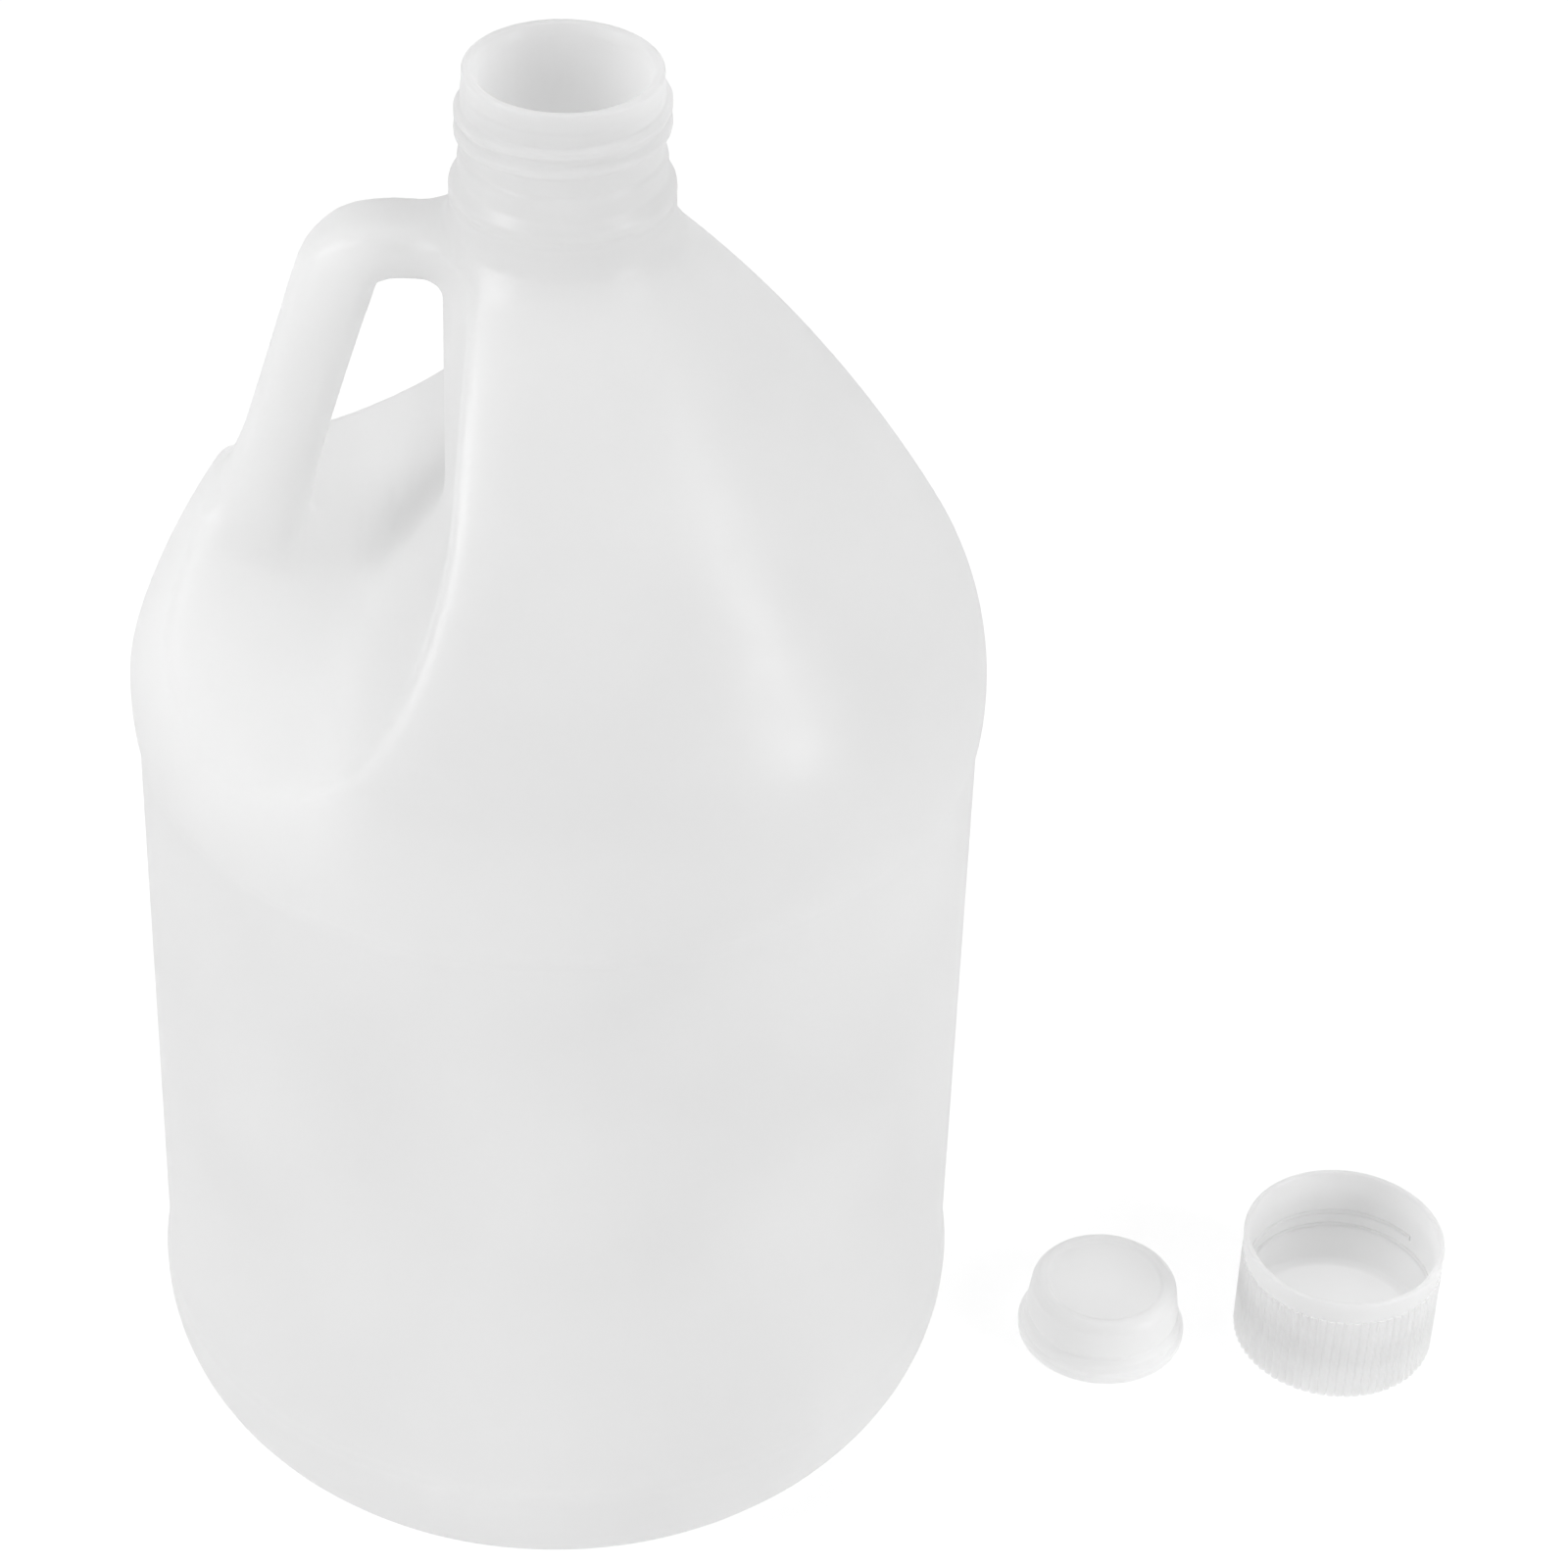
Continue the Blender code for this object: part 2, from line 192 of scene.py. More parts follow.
@dataclass(frozen=True)
class MouldedPlastic:
    """A milky, unpigmented plastic: light passes through its wall, and its skin has a soft, low gloss.

    Attributes:
        resin: Which plastic this is.
        thin: Hex colour where the wall lets more light through.
        thick: Hex colour where the wall is fuller.
        drift_mm: Size of the slow changes in wall thickness.
        skin_mm: Size of the low dimples that the mould leaves in the skin.
        roughness: Lowest and highest roughness of the skin.
        through: Share of the light that passes through a skin of the wall.
        zones: Parts of the piece where the colour drifts to another one, in the order that they are laid.
        skin_depth_mm: Depth of the dimples.
        ior: Refractive index of the plastic.
    """

    resin: Resin
    thin: str
    thick: str
    drift_mm: float
    skin_mm: float
    roughness: Pair
    through: float
    zones: tuple[Zone, ...] = ()
    skin_depth_mm: float = 0.02
    ior: float = 1.5

    def colour(self, tree: Tree, place: Socket) -> Socket:
        """Adds the slow drift of the colour, with the zones laid over it.

        Args:
            tree: The material's tree.
            place: Object coordinates.

        Returns:
            The colour.
        """
        ease = {"interpolation_type": "SMOOTHSTEP"}
        drift = noise(tree, place, self.drift_mm, detail=1.0, fine=0.45)
        ramp = add_node(tree, "ShaderNodeValToRGB", inputs={"Fac": drift})
        for stop, position, tone in zip(ramp.color_ramp.elements, NOISE_SPAN, (self.thick, self.thin)):
            stop.position = position
            stop.color = linear(tone)
        colour = ramp.outputs["Color"]
        axes = add_node(tree, "ShaderNodeSeparateXYZ", inputs={"Vector": place})
        for zone in self.zones:
            share: float | Socket = 1.0
            for along, start, end in zone.bounds:
                reach = {"Value": axes.outputs[along], "From Min": start * MM, "From Max": end * MM}
                step = add_node(tree, "ShaderNodeMapRange", ease, reach | {"To Max": share})
                share = step.outputs["Result"]
            # The colours of a mix node are its inputs 6 and 7 and its output 2.
            tones = {0: share, 6: colour, 7: linear(zone.colour)}
            colour = add_node(tree, "ShaderNodeMix", {"data_type": "RGBA"}, tones).outputs[2]
        return colour

    def build(self) -> Material:
        """Makes the material: a skin of low gloss, mixed with the light that comes through the wall.

        Returns:
            The material, with its patterns on Object coordinates.
        """
        material, place = new_material(self.resin.value)
        tree = material.node_tree
        shader = tree.nodes["Principled BSDF"]
        colour = self.colour(tree, place)
        skin = noise(tree, place, self.skin_mm, detail=3.0)
        spans = dict(zip(("From Min", "From Max", "To Min", "To Max"), (*NOISE_SPAN, *self.roughness)))
        gloss = add_node(tree, "ShaderNodeMapRange", inputs={"Value": skin} | spans)
        dimples = {"Height": skin, "Strength": 0.5, "Distance": self.skin_depth_mm * MM}
        bump = add_node(tree, "ShaderNodeBump", inputs=dimples)
        fill(shader, {"Base Color": colour, "Roughness": gloss.outputs["Result"], "IOR": self.ior})
        fill(shader, {"Normal": bump.outputs["Normal"], "Specular IOR Level": 1.0})
        glow = add_node(tree, "ShaderNodeBsdfTranslucent", inputs={"Color": colour})
        parts = {0: self.through, 1: shader.outputs["BSDF"], 2: glow.outputs["BSDF"]}
        both = add_node(tree, "ShaderNodeMixShader", inputs=parts)
        fill(tree.nodes["Material Output"], {"Surface": both.outputs["Shader"]})
        return material


@dataclass(frozen=True)
class StudioPaper:
    """Matt white backing paper, lit a little from below so that it keeps no dark shadow."""

    colour: str = "989898"
    grain_mm: float = 1.5
    glow: float = 0.76

    def build(self) -> Material:
        """Makes the material: a matt sheet with a very low fibre grain.

        Returns:
            The material.
        """
        material, place = new_material("matt_white_backing_paper")
        tree = material.node_tree
        shader = tree.nodes["Principled BSDF"]
        grain = noise(tree, place, self.grain_mm, detail=0.0)
        bump = add_node(tree, "ShaderNodeBump", inputs={"Height": grain, "Strength": 0.02})
        matt = {"Normal": bump.outputs["Normal"], "Roughness": 0.9, "Specular IOR Level": 0.1}
        lit = {"Emission Color": linear("ffffff"), "Emission Strength": self.glow}
        fill(shader, {"Base Color": linear(self.colour)} | matt | lit)
        return material


def finish_piece(obj: bpy.types.Object, material: Material, node: str, sharp_deg: float) -> None:
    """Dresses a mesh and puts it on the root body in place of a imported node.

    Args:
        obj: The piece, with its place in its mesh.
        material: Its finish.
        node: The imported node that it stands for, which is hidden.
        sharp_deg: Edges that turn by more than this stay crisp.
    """
    obj.data.materials.clear()
    obj.data.materials.append(material)
    obj.data.shade_smooth()
    obj.data.set_sharp_from_angle(angle=math.radians(sharp_deg))
    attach(obj, "root")
    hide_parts(node)
    log.info("%s: %d faces, in place of %s", obj.name, len(obj.data.polygons), node)


def linked(name: str, data: bpy.types.ID) -> bpy.types.Object:
    """Makes an object of a mesh, a camera or a light.

    Args:
        name: The object's name.
        data: What it holds.

    Returns:
        The object, linked to the scene.
    """
    obj = bpy.data.objects.new(name, data)
    bpy.context.scene.collection.objects.link(obj)
    return obj


def closed_object(name: str, points: Points, faces: Sequence[Sequence[int]]) -> bpy.types.Object:
    """Makes an object from points in metres, with doubled points merged and its faces turned outwards.

    Args:
        name: The object's name.
        points: One row of x, y and z for each point.
        faces: Point numbers of each face.

    Returns:
        The object, linked to the scene.
    """
    mesh = bpy.data.meshes.new(name)
    mesh.from_pydata([tuple(p) for p in points], [], [tuple(f) for f in faces])
    shell = bmesh.new()
    shell.from_mesh(mesh)
    bmesh.ops.remove_doubles(shell, verts=shell.verts, dist=TINY)
    bmesh.ops.recalc_face_normals(shell, faces=shell.faces)
    shell.to_mesh(mesh)
    shell.free()
    return linked(name, mesh)


def turned(name: str, profile: Sequence[Pair], centre: Pair) -> bpy.types.Object:
    """Turns a closed profile about an upright axis.

    Args:
        name: The object's name.
        profile: Radius and height of each point, from the axis round the section and back to the axis.
        centre: Place of the axis.

    Returns:
        The turned object.
    """
    angles = np.arange(FACETS) * 2.0 * math.pi / FACETS
    rows = []
    for radius, height in profile:
        across, along = centre[0] + radius * np.cos(angles), centre[1] + radius * np.sin(angles)
        rows.append(np.column_stack([across, along, np.full(FACETS, height)]))
    points = np.concatenate(rows) * MM
    faces: list[Sequence[int]] = []
    for row in range(len(profile) - 1):
        low, high = row * FACETS, (row + 1) * FACETS
        for i in range(FACETS):
            j = (i + 1) % FACETS
            if profile[row][0] < TINY:
                faces.append((low, high + j, high + i))
            elif profile[row + 1][0] < TINY:
                faces.append((low + i, low + j, high))
            else:
                faces.append((low + i, low + j, high + j, high + i))
    return closed_object(name, points, faces)


def rounded(profile: Sequence[Pair], radius: float, steps: int = 3) -> list[Pair]:
    """Rounds the corners of a profile.

    Args:
        profile: Points of the line.
        radius: How far back from each corner its curve starts, at most.
        steps: Pieces of each curve.

    Returns:
        The line with each inner corner replaced by a short curve.
    """
    line = [profile[0]]
    for before, corner, after in zip(profile, profile[1:], profile[2:]):
        back = math.dist(before, corner)
        on = math.dist(corner, after)
        start = min(radius, back * CORNER_SHARE) / back
        end = min(radius, on * CORNER_SHARE) / on
        first = [c + (b - c) * start for b, c in zip(before, corner)]
        last = [c + (a - c) * end for a, c in zip(after, corner)]
        for i in range(steps + 1):
            t = i / steps
            ends = zip(first, corner, last)
            line.append(tuple(f * (1 - t) ** 2 + 2 * c * t * (1 - t) + e * t**2 for f, c, e in ends))
    line.append(profile[-1])
    return line


def smooth_min(a: Points, b: Points, blend: float) -> Points:
    """Lower of two distances, with a fillet of about the blend where they cross."""
    share = np.maximum(blend - np.abs(a - b), 0.0) / blend
    return np.minimum(a, b) - share * share * blend * 0.25


def smooth_max(a: Points, b: Points, blend: float) -> Points:
    """Higher of two distances, with a round of about the blend where they cross."""
    return -smooth_min(-a, -b, blend)


def tabled(low: Pair, high: Pair, rule: FlatRule) -> FlatRule:
    """Works a slow rule out on a fine flat grid.

    Args:
        low: Lowest corner of the grid.
        high: Highest corner of the grid.
        rule: Takes both coordinates and gives the value.

    Returns:
        A quick rule that reads between the grid's points, and at its edge beyond them.
    """
    axes = [np.arange(start, end + TABLE_STEP, TABLE_STEP) for start, end in zip(low, high)]
    values = rule(*np.meshgrid(*axes, indexing="ij"))
    # The furthest place that is read lies just inside the last cell.
    last_row, last_column = values.shape[0] - 1.001, values.shape[1] - 1.001

    def read(a: Points, b: Points) -> Points:
        """Reads the grid.

        Args:
            a: First coordinates of the places asked for.
            b: Second coordinates of the places asked for.

        Returns:
            The values there.
        """
        row = np.clip((a - low[0]) / TABLE_STEP, 0.0, last_row)
        column = np.clip((b - low[1]) / TABLE_STEP, 0.0, last_column)
        i, j = row.astype(int), column.astype(int)
        s, t = row - i, column - j
        near = values[i, j] * (1 - s) + values[i + 1, j] * s
        far = values[i, j + 1] * (1 - s) + values[i + 1, j + 1] * s
        return near * (1 - t) + far * t

    return read


def nearest_on_line(line: Points, a: Points, b: Points) -> tuple[Points, Points]:
    """Finds the nearest place on a line of points.

    Args:
        line: Points of the line.
        a: First coordinates of the places asked for.
        b: Second coordinates of the places asked for.

    Returns:
        The distance to the line, and how far along it the nearest place is, counted in points.
    """
    best = np.full(a.shape, 1e9)
    along = np.zeros(a.shape)
    for i, (start, end) in enumerate(zip(line[:-1], line[1:])):
        run = end - start
        share = np.clip(((a - start[0]) * run[0] + (b - start[1]) * run[1]) / float(run @ run), 0.0, 1.0)
        gap = np.hypot(a - start[0] - run[0] * share, b - start[1] - run[1] * share)
        closer = gap < best
        best = np.where(closer, gap, best)
        along = np.where(closer, i + share, along)
    return best, along


def arc(centre: Pair, radius: float, start_deg: float, end_deg: float, count: int) -> list[Pair]:
    """Points on an arc, with its angles in degrees up from level."""
    angles = np.radians(np.linspace(start_deg, end_deg, count + 1))
    return [(centre[0] + radius * math.cos(t), centre[1] + radius * math.sin(t)) for t in angles]


@dataclass
class JugShape:
    """Driving sizes of the jug, in millimetres from the foot of its axis."""

    wall: float = 1.6
    dish: Pair = (36.0, 3.6)
    foot_in: float = 43.0
    foot_out: float = 49.6
    heel: float = 29.3
    panel: float = 78.0
    panel_z: Pair = (33.0, 161.5)
    bulge: Pair = (79.12, 169.75)
    shoulder_1: Pair = (54.0, 29.2)
    shoulder_2: Pair = (297.0, 45.5)
    neck: float = 19.8
    neck_z: float = 265.4
    band: float = 18.2
    root: float = 17.6
    lip: float = 17.4
    bore: float = 14.8
    top_z: float = 295.0
    thread: float = 18.75
    thread_pitch: float = 3.55
    thread_low_z: float = 281.9
    thread_turns: float = 2.1
    thread_start_deg: float = 34.0
    thread_run_out: float = 0.11
    thread_half_w: float = 1.25
    thread_flank: float = 0.62
    thread_rows: tuple[float, float, float] = (280.0, 291.2, 0.28)
    turn_deg: float = 3.5
    pocket_u: float = 13.9
    pocket_bend_z: float = 232.0
    pocket_top_z: float = 262.0
    pocket_low: Pair = (50.0, 182.3)
    pocket_roundness: float = 1.8
    pocket_draft: float = 80.0
    crease: Pair = (37.0, 188.8)
    crease_fall: float = 0.048
    shelf_slope: float = 0.7
    shelf_level_w: float = 45.0
    ridge_w: float = 8.0
    ridge_roundness: float = 0.3
    land: tuple[Pair, Pair] = ((56.0, 217.1), (80.0, 177.7))
    land_rise: float = 5.0
    column: float = 20.9
    column_top_z: float = 262.6
    # The handle's stations: distance from the axis, height, half its depth and half its width.
    handle: tuple[tuple[float, float, float, float], ...] = (
        (10.0, 259.2, 5.0, 8.2),
        (24.0, 259.2, 5.0, 8.2),
        (31.0, 258.8, 5.3, 8.2),
        (36.3, 256.6, 6.4, 8.2),
        (39.3, 252.7, 7.2, 8.2),
        (40.9, 248.3, 7.3, 8.2),
        (43.5, 239.7, 7.2, 8.2),
        (48.0, 224.4, 7.2, 8.4),
        (51.1, 213.9, 7.4, 9.0),
        (53.6, 206.0, 8.2, 10.0),
        (56.6, 198.0, 9.4, 11.4),
        (59.0, 190.0, 9.6, 12.0),
    )
    handle_squareness: float = 3.4
    rim_blend: float = 2.4
    crease_blend: float = 5.0
    foot_blend: float = 4.5
    column_blend: float = 3.5
    land_blend: float = 5.0
    top_blend: float = 2.0

    def shoulder(self, low_deg: float) -> list[Pair]:
        """The shoulder's two arcs, from a little below the widest circle up to the neck.

        Args:
            low_deg: Where the first arc starts, in degrees up from level.

        Returns:
            Radius and height of each point.
        """
        (radius_1, turn_1), (radius_2, turn_2) = self.shoulder_1, self.shoulder_2
        centre_1 = (self.bulge[0] - radius_1, self.bulge[1])
        turn = math.radians(turn_1)
        back = radius_1 - radius_2
        centre_2 = (centre_1[0] + back * math.cos(turn), centre_1[1] + back * math.sin(turn))
        return arc(centre_1, radius_1, low_deg, turn_1, 16) + arc(centre_2, radius_2, turn_1, turn_2, 20)[1:]

    def upper_profile(self) -> Points:
        """The outline from the panel's top up over the shoulder to the plain part of the neck.

        Returns:
            One row of radius and height for each point.
        """
        top = self.shoulder(0.0)[-1]
        junction = rounded([top, (self.neck + 0.5, self.neck_z - 1.4), (self.neck, 268.0)], 3.0, 6)
        below = [(self.panel, 140.0), (self.panel, self.panel_z[1] - 1.0)]
        return np.array(below + self.shoulder(-6.5)[:-1] + junction + [(self.neck, 290.0)])


class JugField:
    """Distance to the jug's skin at its shoulder, pockets and handle, negative in the plastic."""

    def __init__(self, shape: JugShape) -> None:
        """Works out the flat tables that the field is read from.

        Args:
            shape: The jug's sizes.
        """
        self.shape = shape
        self.outline = shape.upper_profile()
        self.path, depth, width = self.handle_line()
        body_area = ((0.0, 150.0), (115.0, 285.0))
        handle_area = ((5.0, 170.0), (90.0, 285.0))
        pocket_area = ((-20.0, 150.0), (120.0, 285.0))
        self.body = tabled(*body_area, self.body_distance)
        self.handle_gap = tabled(*handle_area, lambda u, z: nearest_on_line(self.path, u, z)[0])
        self.handle_depth = tabled(*handle_area, lambda u, z: self.along_handle(depth, u, z))
        self.handle_width = tabled(*handle_area, lambda u, z: self.along_handle(width, u, z))
        self.pocket_wall = tabled(*pocket_area, self.wall_distance)

    def body_distance(self, radius: Points, height: Points) -> Points:
        """Distance to the outline of the body and the neck.

        Args:
            radius: Distance from the axis.
            height: Height above the floor.

        Returns:
            The distance, negative inside.
        """
        gap, _ = nearest_on_line(self.outline, radius, height)
        inside = radius < np.interp(height, self.outline[:, 1], self.outline[:, 0])
        return np.where(inside, -gap, gap)

    def along_handle(self, values: Points, u: Points, z: Points) -> Points:
        """Reads one of the handle's sizes at the nearest place on its middle line."""
        _, along = nearest_on_line(self.path, u, z)
        return np.interp(along, np.arange(len(self.path)), values)

    def handle_line(self) -> tuple[Points, Points, Points]:
        """Draws a smooth curve through the handle's stations.

        Returns:
            The points of its middle line, and half its depth and half its width at each of them.
        """
        pieces = 6
        stations = np.array(self.shape.handle)
        padded = np.vstack([2 * stations[0] - stations[1], stations, 2 * stations[-1] - stations[-2]])
        rows = []
        for i in range(1, len(padded) - 2):
            p0, p1, p2, p3 = padded[i - 1 : i + 3]
            for t in np.arange(pieces) / pieces:
                away = (p2 - p0) + (2 * p0 - 5 * p1 + 4 * p2 - p3) * t + (3 * p1 - p0 - 3 * p2 + p3) * t * t
                rows.append(p1 + 0.5 * t * away)
        rows.append(stations[-1])
        line = np.array(rows)
        return line[:, :2], line[:, 2], line[:, 3]

    def wall_distance(self, u: Points, z: Points) -> Points:
        """Distance from the pocket's tall wall and the curve at its foot, seen from the side.

        Args:
            u: Distance out from the axis, towards the handle.
            z: Height above the floor.

        Returns:
            The distance, negative in the open pocket.
        """
        s = self.shape
        low_u, low_z = s.pocket_low
        power = 2.0 / s.pocket_roundness
        turn = np.linspace(0.0, 0.5 * math.pi, 60)
        line_u = low_u - (low_u - s.pocket_u) * np.cos(turn) ** power
        line_z = s.pocket_bend_z - (s.pocket_bend_z - low_z) * np.sin(turn) ** power
        line = np.column_stack([line_u, line_z])
        line = np.vstack([[s.pocket_u, 330.0], line, [200.0, low_z]])
        gap, _ = nearest_on_line(line, u, z)
        edge_z = np.interp(u, line[1:, 0], line[1:, 1])
        inside = (u < s.pocket_u) | (z < edge_z)
        return np.where(inside, gap, -gap)

    def value(self, x: Points, y: Points, z: Points) -> Points:
        """Reads the field.

        Args:
            x: Distance along X from the jug's axis.
            y: Distance along Y from the jug's axis.
            z: Height above the floor.

        Returns:
            Distance to the skin, negative inside.
        """
        s = self.shape
        radius = np.hypot(x, y)
        cos, sin = math.cos(math.radians(s.turn_deg)), math.sin(math.radians(s.turn_deg))
        u = -x * cos + y * sin
        w = np.abs(-x * sin - y * cos)
        spread = np.sqrt(w * w + s.ridge_w**2 * s.ridge_roundness)
        wall = self.pocket_wall(u, z) - w / s.pocket_draft
        slope = s.shelf_slope * (1.0 - spread / s.shelf_level_w)
        floor = s.crease[1] - s.crease_fall * spread + slope * (u - s.crease[0]) - z
        floor = floor / np.sqrt(1.0 + slope * slope)
        pocket = smooth_max(smooth_max(wall, floor, s.crease_blend), z - s.pocket_top_z, s.top_blend)
        (ua, za), (ub, zb) = s.land
        length = math.hypot(ub - ua, zb - za)
        land = np.minimum(((u - ua) * (za - zb) + (z - za) * (ub - ua)) / length, za + s.land_rise - z)
        skin = smooth_max(self.body(radius, z), land, s.land_blend)
        skin = smooth_max(skin, -pocket, s.rim_blend)
        column = smooth_max(radius - s.column, z - s.column_top_z, s.top_blend)
        skin = smooth_min(skin, column, s.column_blend)
        depth = self.handle_depth(u, z)
        width = self.handle_width(u, z)
        a = (self.handle_gap(u, z) + np.maximum(s.handle[0][0] - u, 0.0)) / depth
        b = w / width
        power = s.handle_squareness
        q = np.maximum(a**power + b**power, 1e-9) ** (1.0 / power)
        rate = np.hypot((a / q) ** (power - 1) / depth, (b / q) ** (power - 1) / width)
        handle = (q - 1.0) / np.maximum(rate, 0.5 / width)
        return smooth_min(skin, handle, s.foot_blend)


def grid_surface(rule: SpaceRule, low: Place, high: Place, step: float) -> tuple[Points, Points]:
    """Finds the zero surface of a rule as a net of quads, one point in each cell that the surface crosses.

    Args:
        rule: Takes x, y and z and gives a distance, negative inside.
        low: Lowest corner of the box that is searched.
        high: Highest corner of that box.
        step: Size of a cell.

    Returns:
        The points, drawn onto the surface, and the quads between them.
    """
    axes = [np.arange(a, b + step, step) for a, b in zip(low, high)]
    value = rule(*np.meshgrid(*axes, indexing="ij"))
    inside = value < 0.0
    shape = tuple(n - 1 for n in value.shape)
    corners = [(i, j, k) for i in (0, 1) for j in (0, 1) for k in (0, 1)]
    di, dj, dk = shape
    count = sum(inside[i : i + di, j : j + dj, k : k + dk].astype(np.int8) for i, j, k in corners)
    cells = np.argwhere((count > 0) & (count < 8))
    number = np.full(shape, -1, np.int64)
    number[tuple(cells.T)] = np.arange(len(cells))
    total = np.zeros((len(cells), 3))
    crossings = np.zeros(len(cells))
    for start in corners:
        for axis in range(3):
            if start[axis]:
                continue
            end = tuple(1 if n == axis else start[n] for n in range(3))
            a = value[tuple((cells + start).T)]
            b = value[tuple((cells + end).T)]
            crosses = (a < 0.0) != (b < 0.0)
            share = np.where(crosses, a / np.where(crosses, a - b, 1.0), 0.0)
            place = np.tile(np.array(start, float), (len(cells), 1))
            place[:, axis] = share
            total += place * crosses[:, None]
            crossings += crosses
    points = np.array(low) + (cells + total / crossings[:, None]) * step
    quads = []
    for axis in range(3):
        after = np.roll(inside, -1, axis=axis)
        changes = inside != after
        spans = [slice(1, -1)] * 3
        spans[axis] = slice(0, -1)
        edges = np.argwhere(changes[tuple(spans)]) + [0 if n == axis else 1 for n in range(3)]
        side_1, side_2 = [n for n in range(3) if n != axis]
        ring = []
        for back_1, back_2 in ((1, 1), (0, 1), (0, 0), (1, 0)):
            cell = edges.copy()
            cell[:, side_1] -= back_1
            cell[:, side_2] -= back_2
            ring.append(number[tuple(cell.T)])
        quads.append(np.stack(ring, axis=1))
    return drawn_on(rule, points, 2), np.concatenate(quads)


def drawn_on(rule: SpaceRule, points: Points, rounds: int) -> Points:
    """Moves points along the rule's slope until they lie on its zero surface.

    Args:
        rule: The distance rule.
        points: The points to move.
        rounds: How often each is moved.

    Returns:
        The moved points.
    """
    reach = 0.35
    least_slope = 0.2
    longest_move = 0.8
    for _ in range(rounds):
        slope = np.zeros_like(points)
        for axis in range(3):
            ahead, behind = points.copy(), points.copy()
            ahead[:, axis] += reach
            behind[:, axis] -= reach
            slope[:, axis] = (rule(*ahead.T) - rule(*behind.T)) / (2.0 * reach)
        size = np.maximum((slope * slope).sum(axis=1), least_slope)
        move = slope * (rule(*points.T) / size)[:, None]
        far = np.linalg.norm(move, axis=1)
        points = points - move * np.minimum(1.0, longest_move / np.maximum(far, 1e-9))[:, None]
    return points


def open_edges(quads: Points) -> list[list[int]]:
    """Walks round each open edge of a net.

    Args:
        quads: The net's faces.

    Returns:
        The point numbers of each open loop, in order.
    """
    sides = np.concatenate([quads[:, [i, (i + 1) % 4]] for i in range(4)])
    _, first, uses = np.unique(np.sort(sides, axis=1), axis=0, return_index=True, return_counts=True)
    beside: dict[int, list[int]] = {}
    for a, b in sides[first[uses == 1]].tolist():
        beside.setdefault(a, []).append(b)
        beside.setdefault(b, []).append(a)
    loops = []
    while beside:
        start, near = next(iter(beside.items()))
        loop, last, here = [start], start, near[0]
        while here != start:
            loop.append(here)
            step = [n for n in beside[here] if n != last]
            last, here = here, step[0]
        for point in loop:
            beside.pop(point, None)
        loops.append(loop)
    return loops


@dataclass
class SkinBuilder:
    """Gathers the points and faces of one closed skin.

    Attributes:
        points: Rows of points, in millimetres.
        faces: Point numbers of each face.
    """

    points: list[Points] = field(default_factory=list)
    faces: list[Sequence[int]] = field(default_factory=list)

    def add(self, points: Points) -> int:
        """Adds points and gives the number of the first."""
        first = sum(len(rows) for rows in self.points)
        self.points.append(points)
        return first

    def add_net(self, points: Points, quads: Points) -> list[list[int]]:
        """Adds a net of quads.

        Args:
            points: Its points.
            quads: Its faces, by its own point numbers.

        Returns:
            Its open loops, by the skin's point numbers.
        """
        first = self.add(points)
        self.faces.extend((quads + first).tolist())
        return [[n + first for n in loop] for loop in open_edges(quads)]

    def place(self, numbers: Sequence[int]) -> Points:
        """The points with these numbers."""
        return np.concatenate(self.points)[list(numbers)]

    def follow(self, loop: Sequence[int], rows: Sequence[RowRule]) -> list[int]:
        """Continues an open loop through turned rows.

        Args:
            loop: The loop, in order.
            rows: Each takes the loop's angles and gives radius and height at each of them.

        Returns:
            The last row's loop.
        """
        start = self.place(loop)
        angles = np.arctan2(start[:, 1], start[:, 0])
        before = list(loop)
        for row in rows:
            radius, height = row(angles).T
            ring = np.column_stack([radius * np.cos(angles), radius * np.sin(angles), height])
            first = self.add(ring)
            after = list(range(first, first + len(loop)))
            for i, number in enumerate(before):
                j = (i + 1) % len(loop)
                self.faces.append((number, before[j], after[j], after[i]))
            before = after
        return before

    def close(self, loop: Sequence[int], height: float) -> None:
        """Closes a loop with a fan to a point on the axis."""
        middle = self.add(np.array([[0.0, 0.0, height]]))
        for a, b in zip(loop, list(loop[1:]) + [loop[0]]):
            self.faces.append((a, b, middle))

    def bridge(self, one: Sequence[int], other: Sequence[int]) -> None:
        """Joins two loops round the axis that have different numbers of points.

        Args:
            one: The first loop.
            other: The second loop.
        """
        rounds = []
        for loop in (one, other):
            place = self.place(loop)
            angles = np.arctan2(place[:, 1], place[:, 0])
            order = np.argsort(angles)
            turns = np.append(angles[order], angles[order[0]] + 2.0 * math.pi)
            rounds.append(([loop[i] for i in order], turns))
        (a_loop, a_angle), (b_loop, b_angle) = rounds
        i, j = 0, 0
        while i < len(a_loop) or j < len(b_loop):
            a, b = a_loop[i % len(a_loop)], b_loop[j % len(b_loop)]
            if j >= len(b_loop) or (i < len(a_loop) and a_angle[i + 1] <= b_angle[j + 1]):
                i += 1
                self.faces.append((a, a_loop[i % len(a_loop)], b))
            else:
                j += 1
                self.faces.append((a, b_loop[j % len(b_loop)], b))


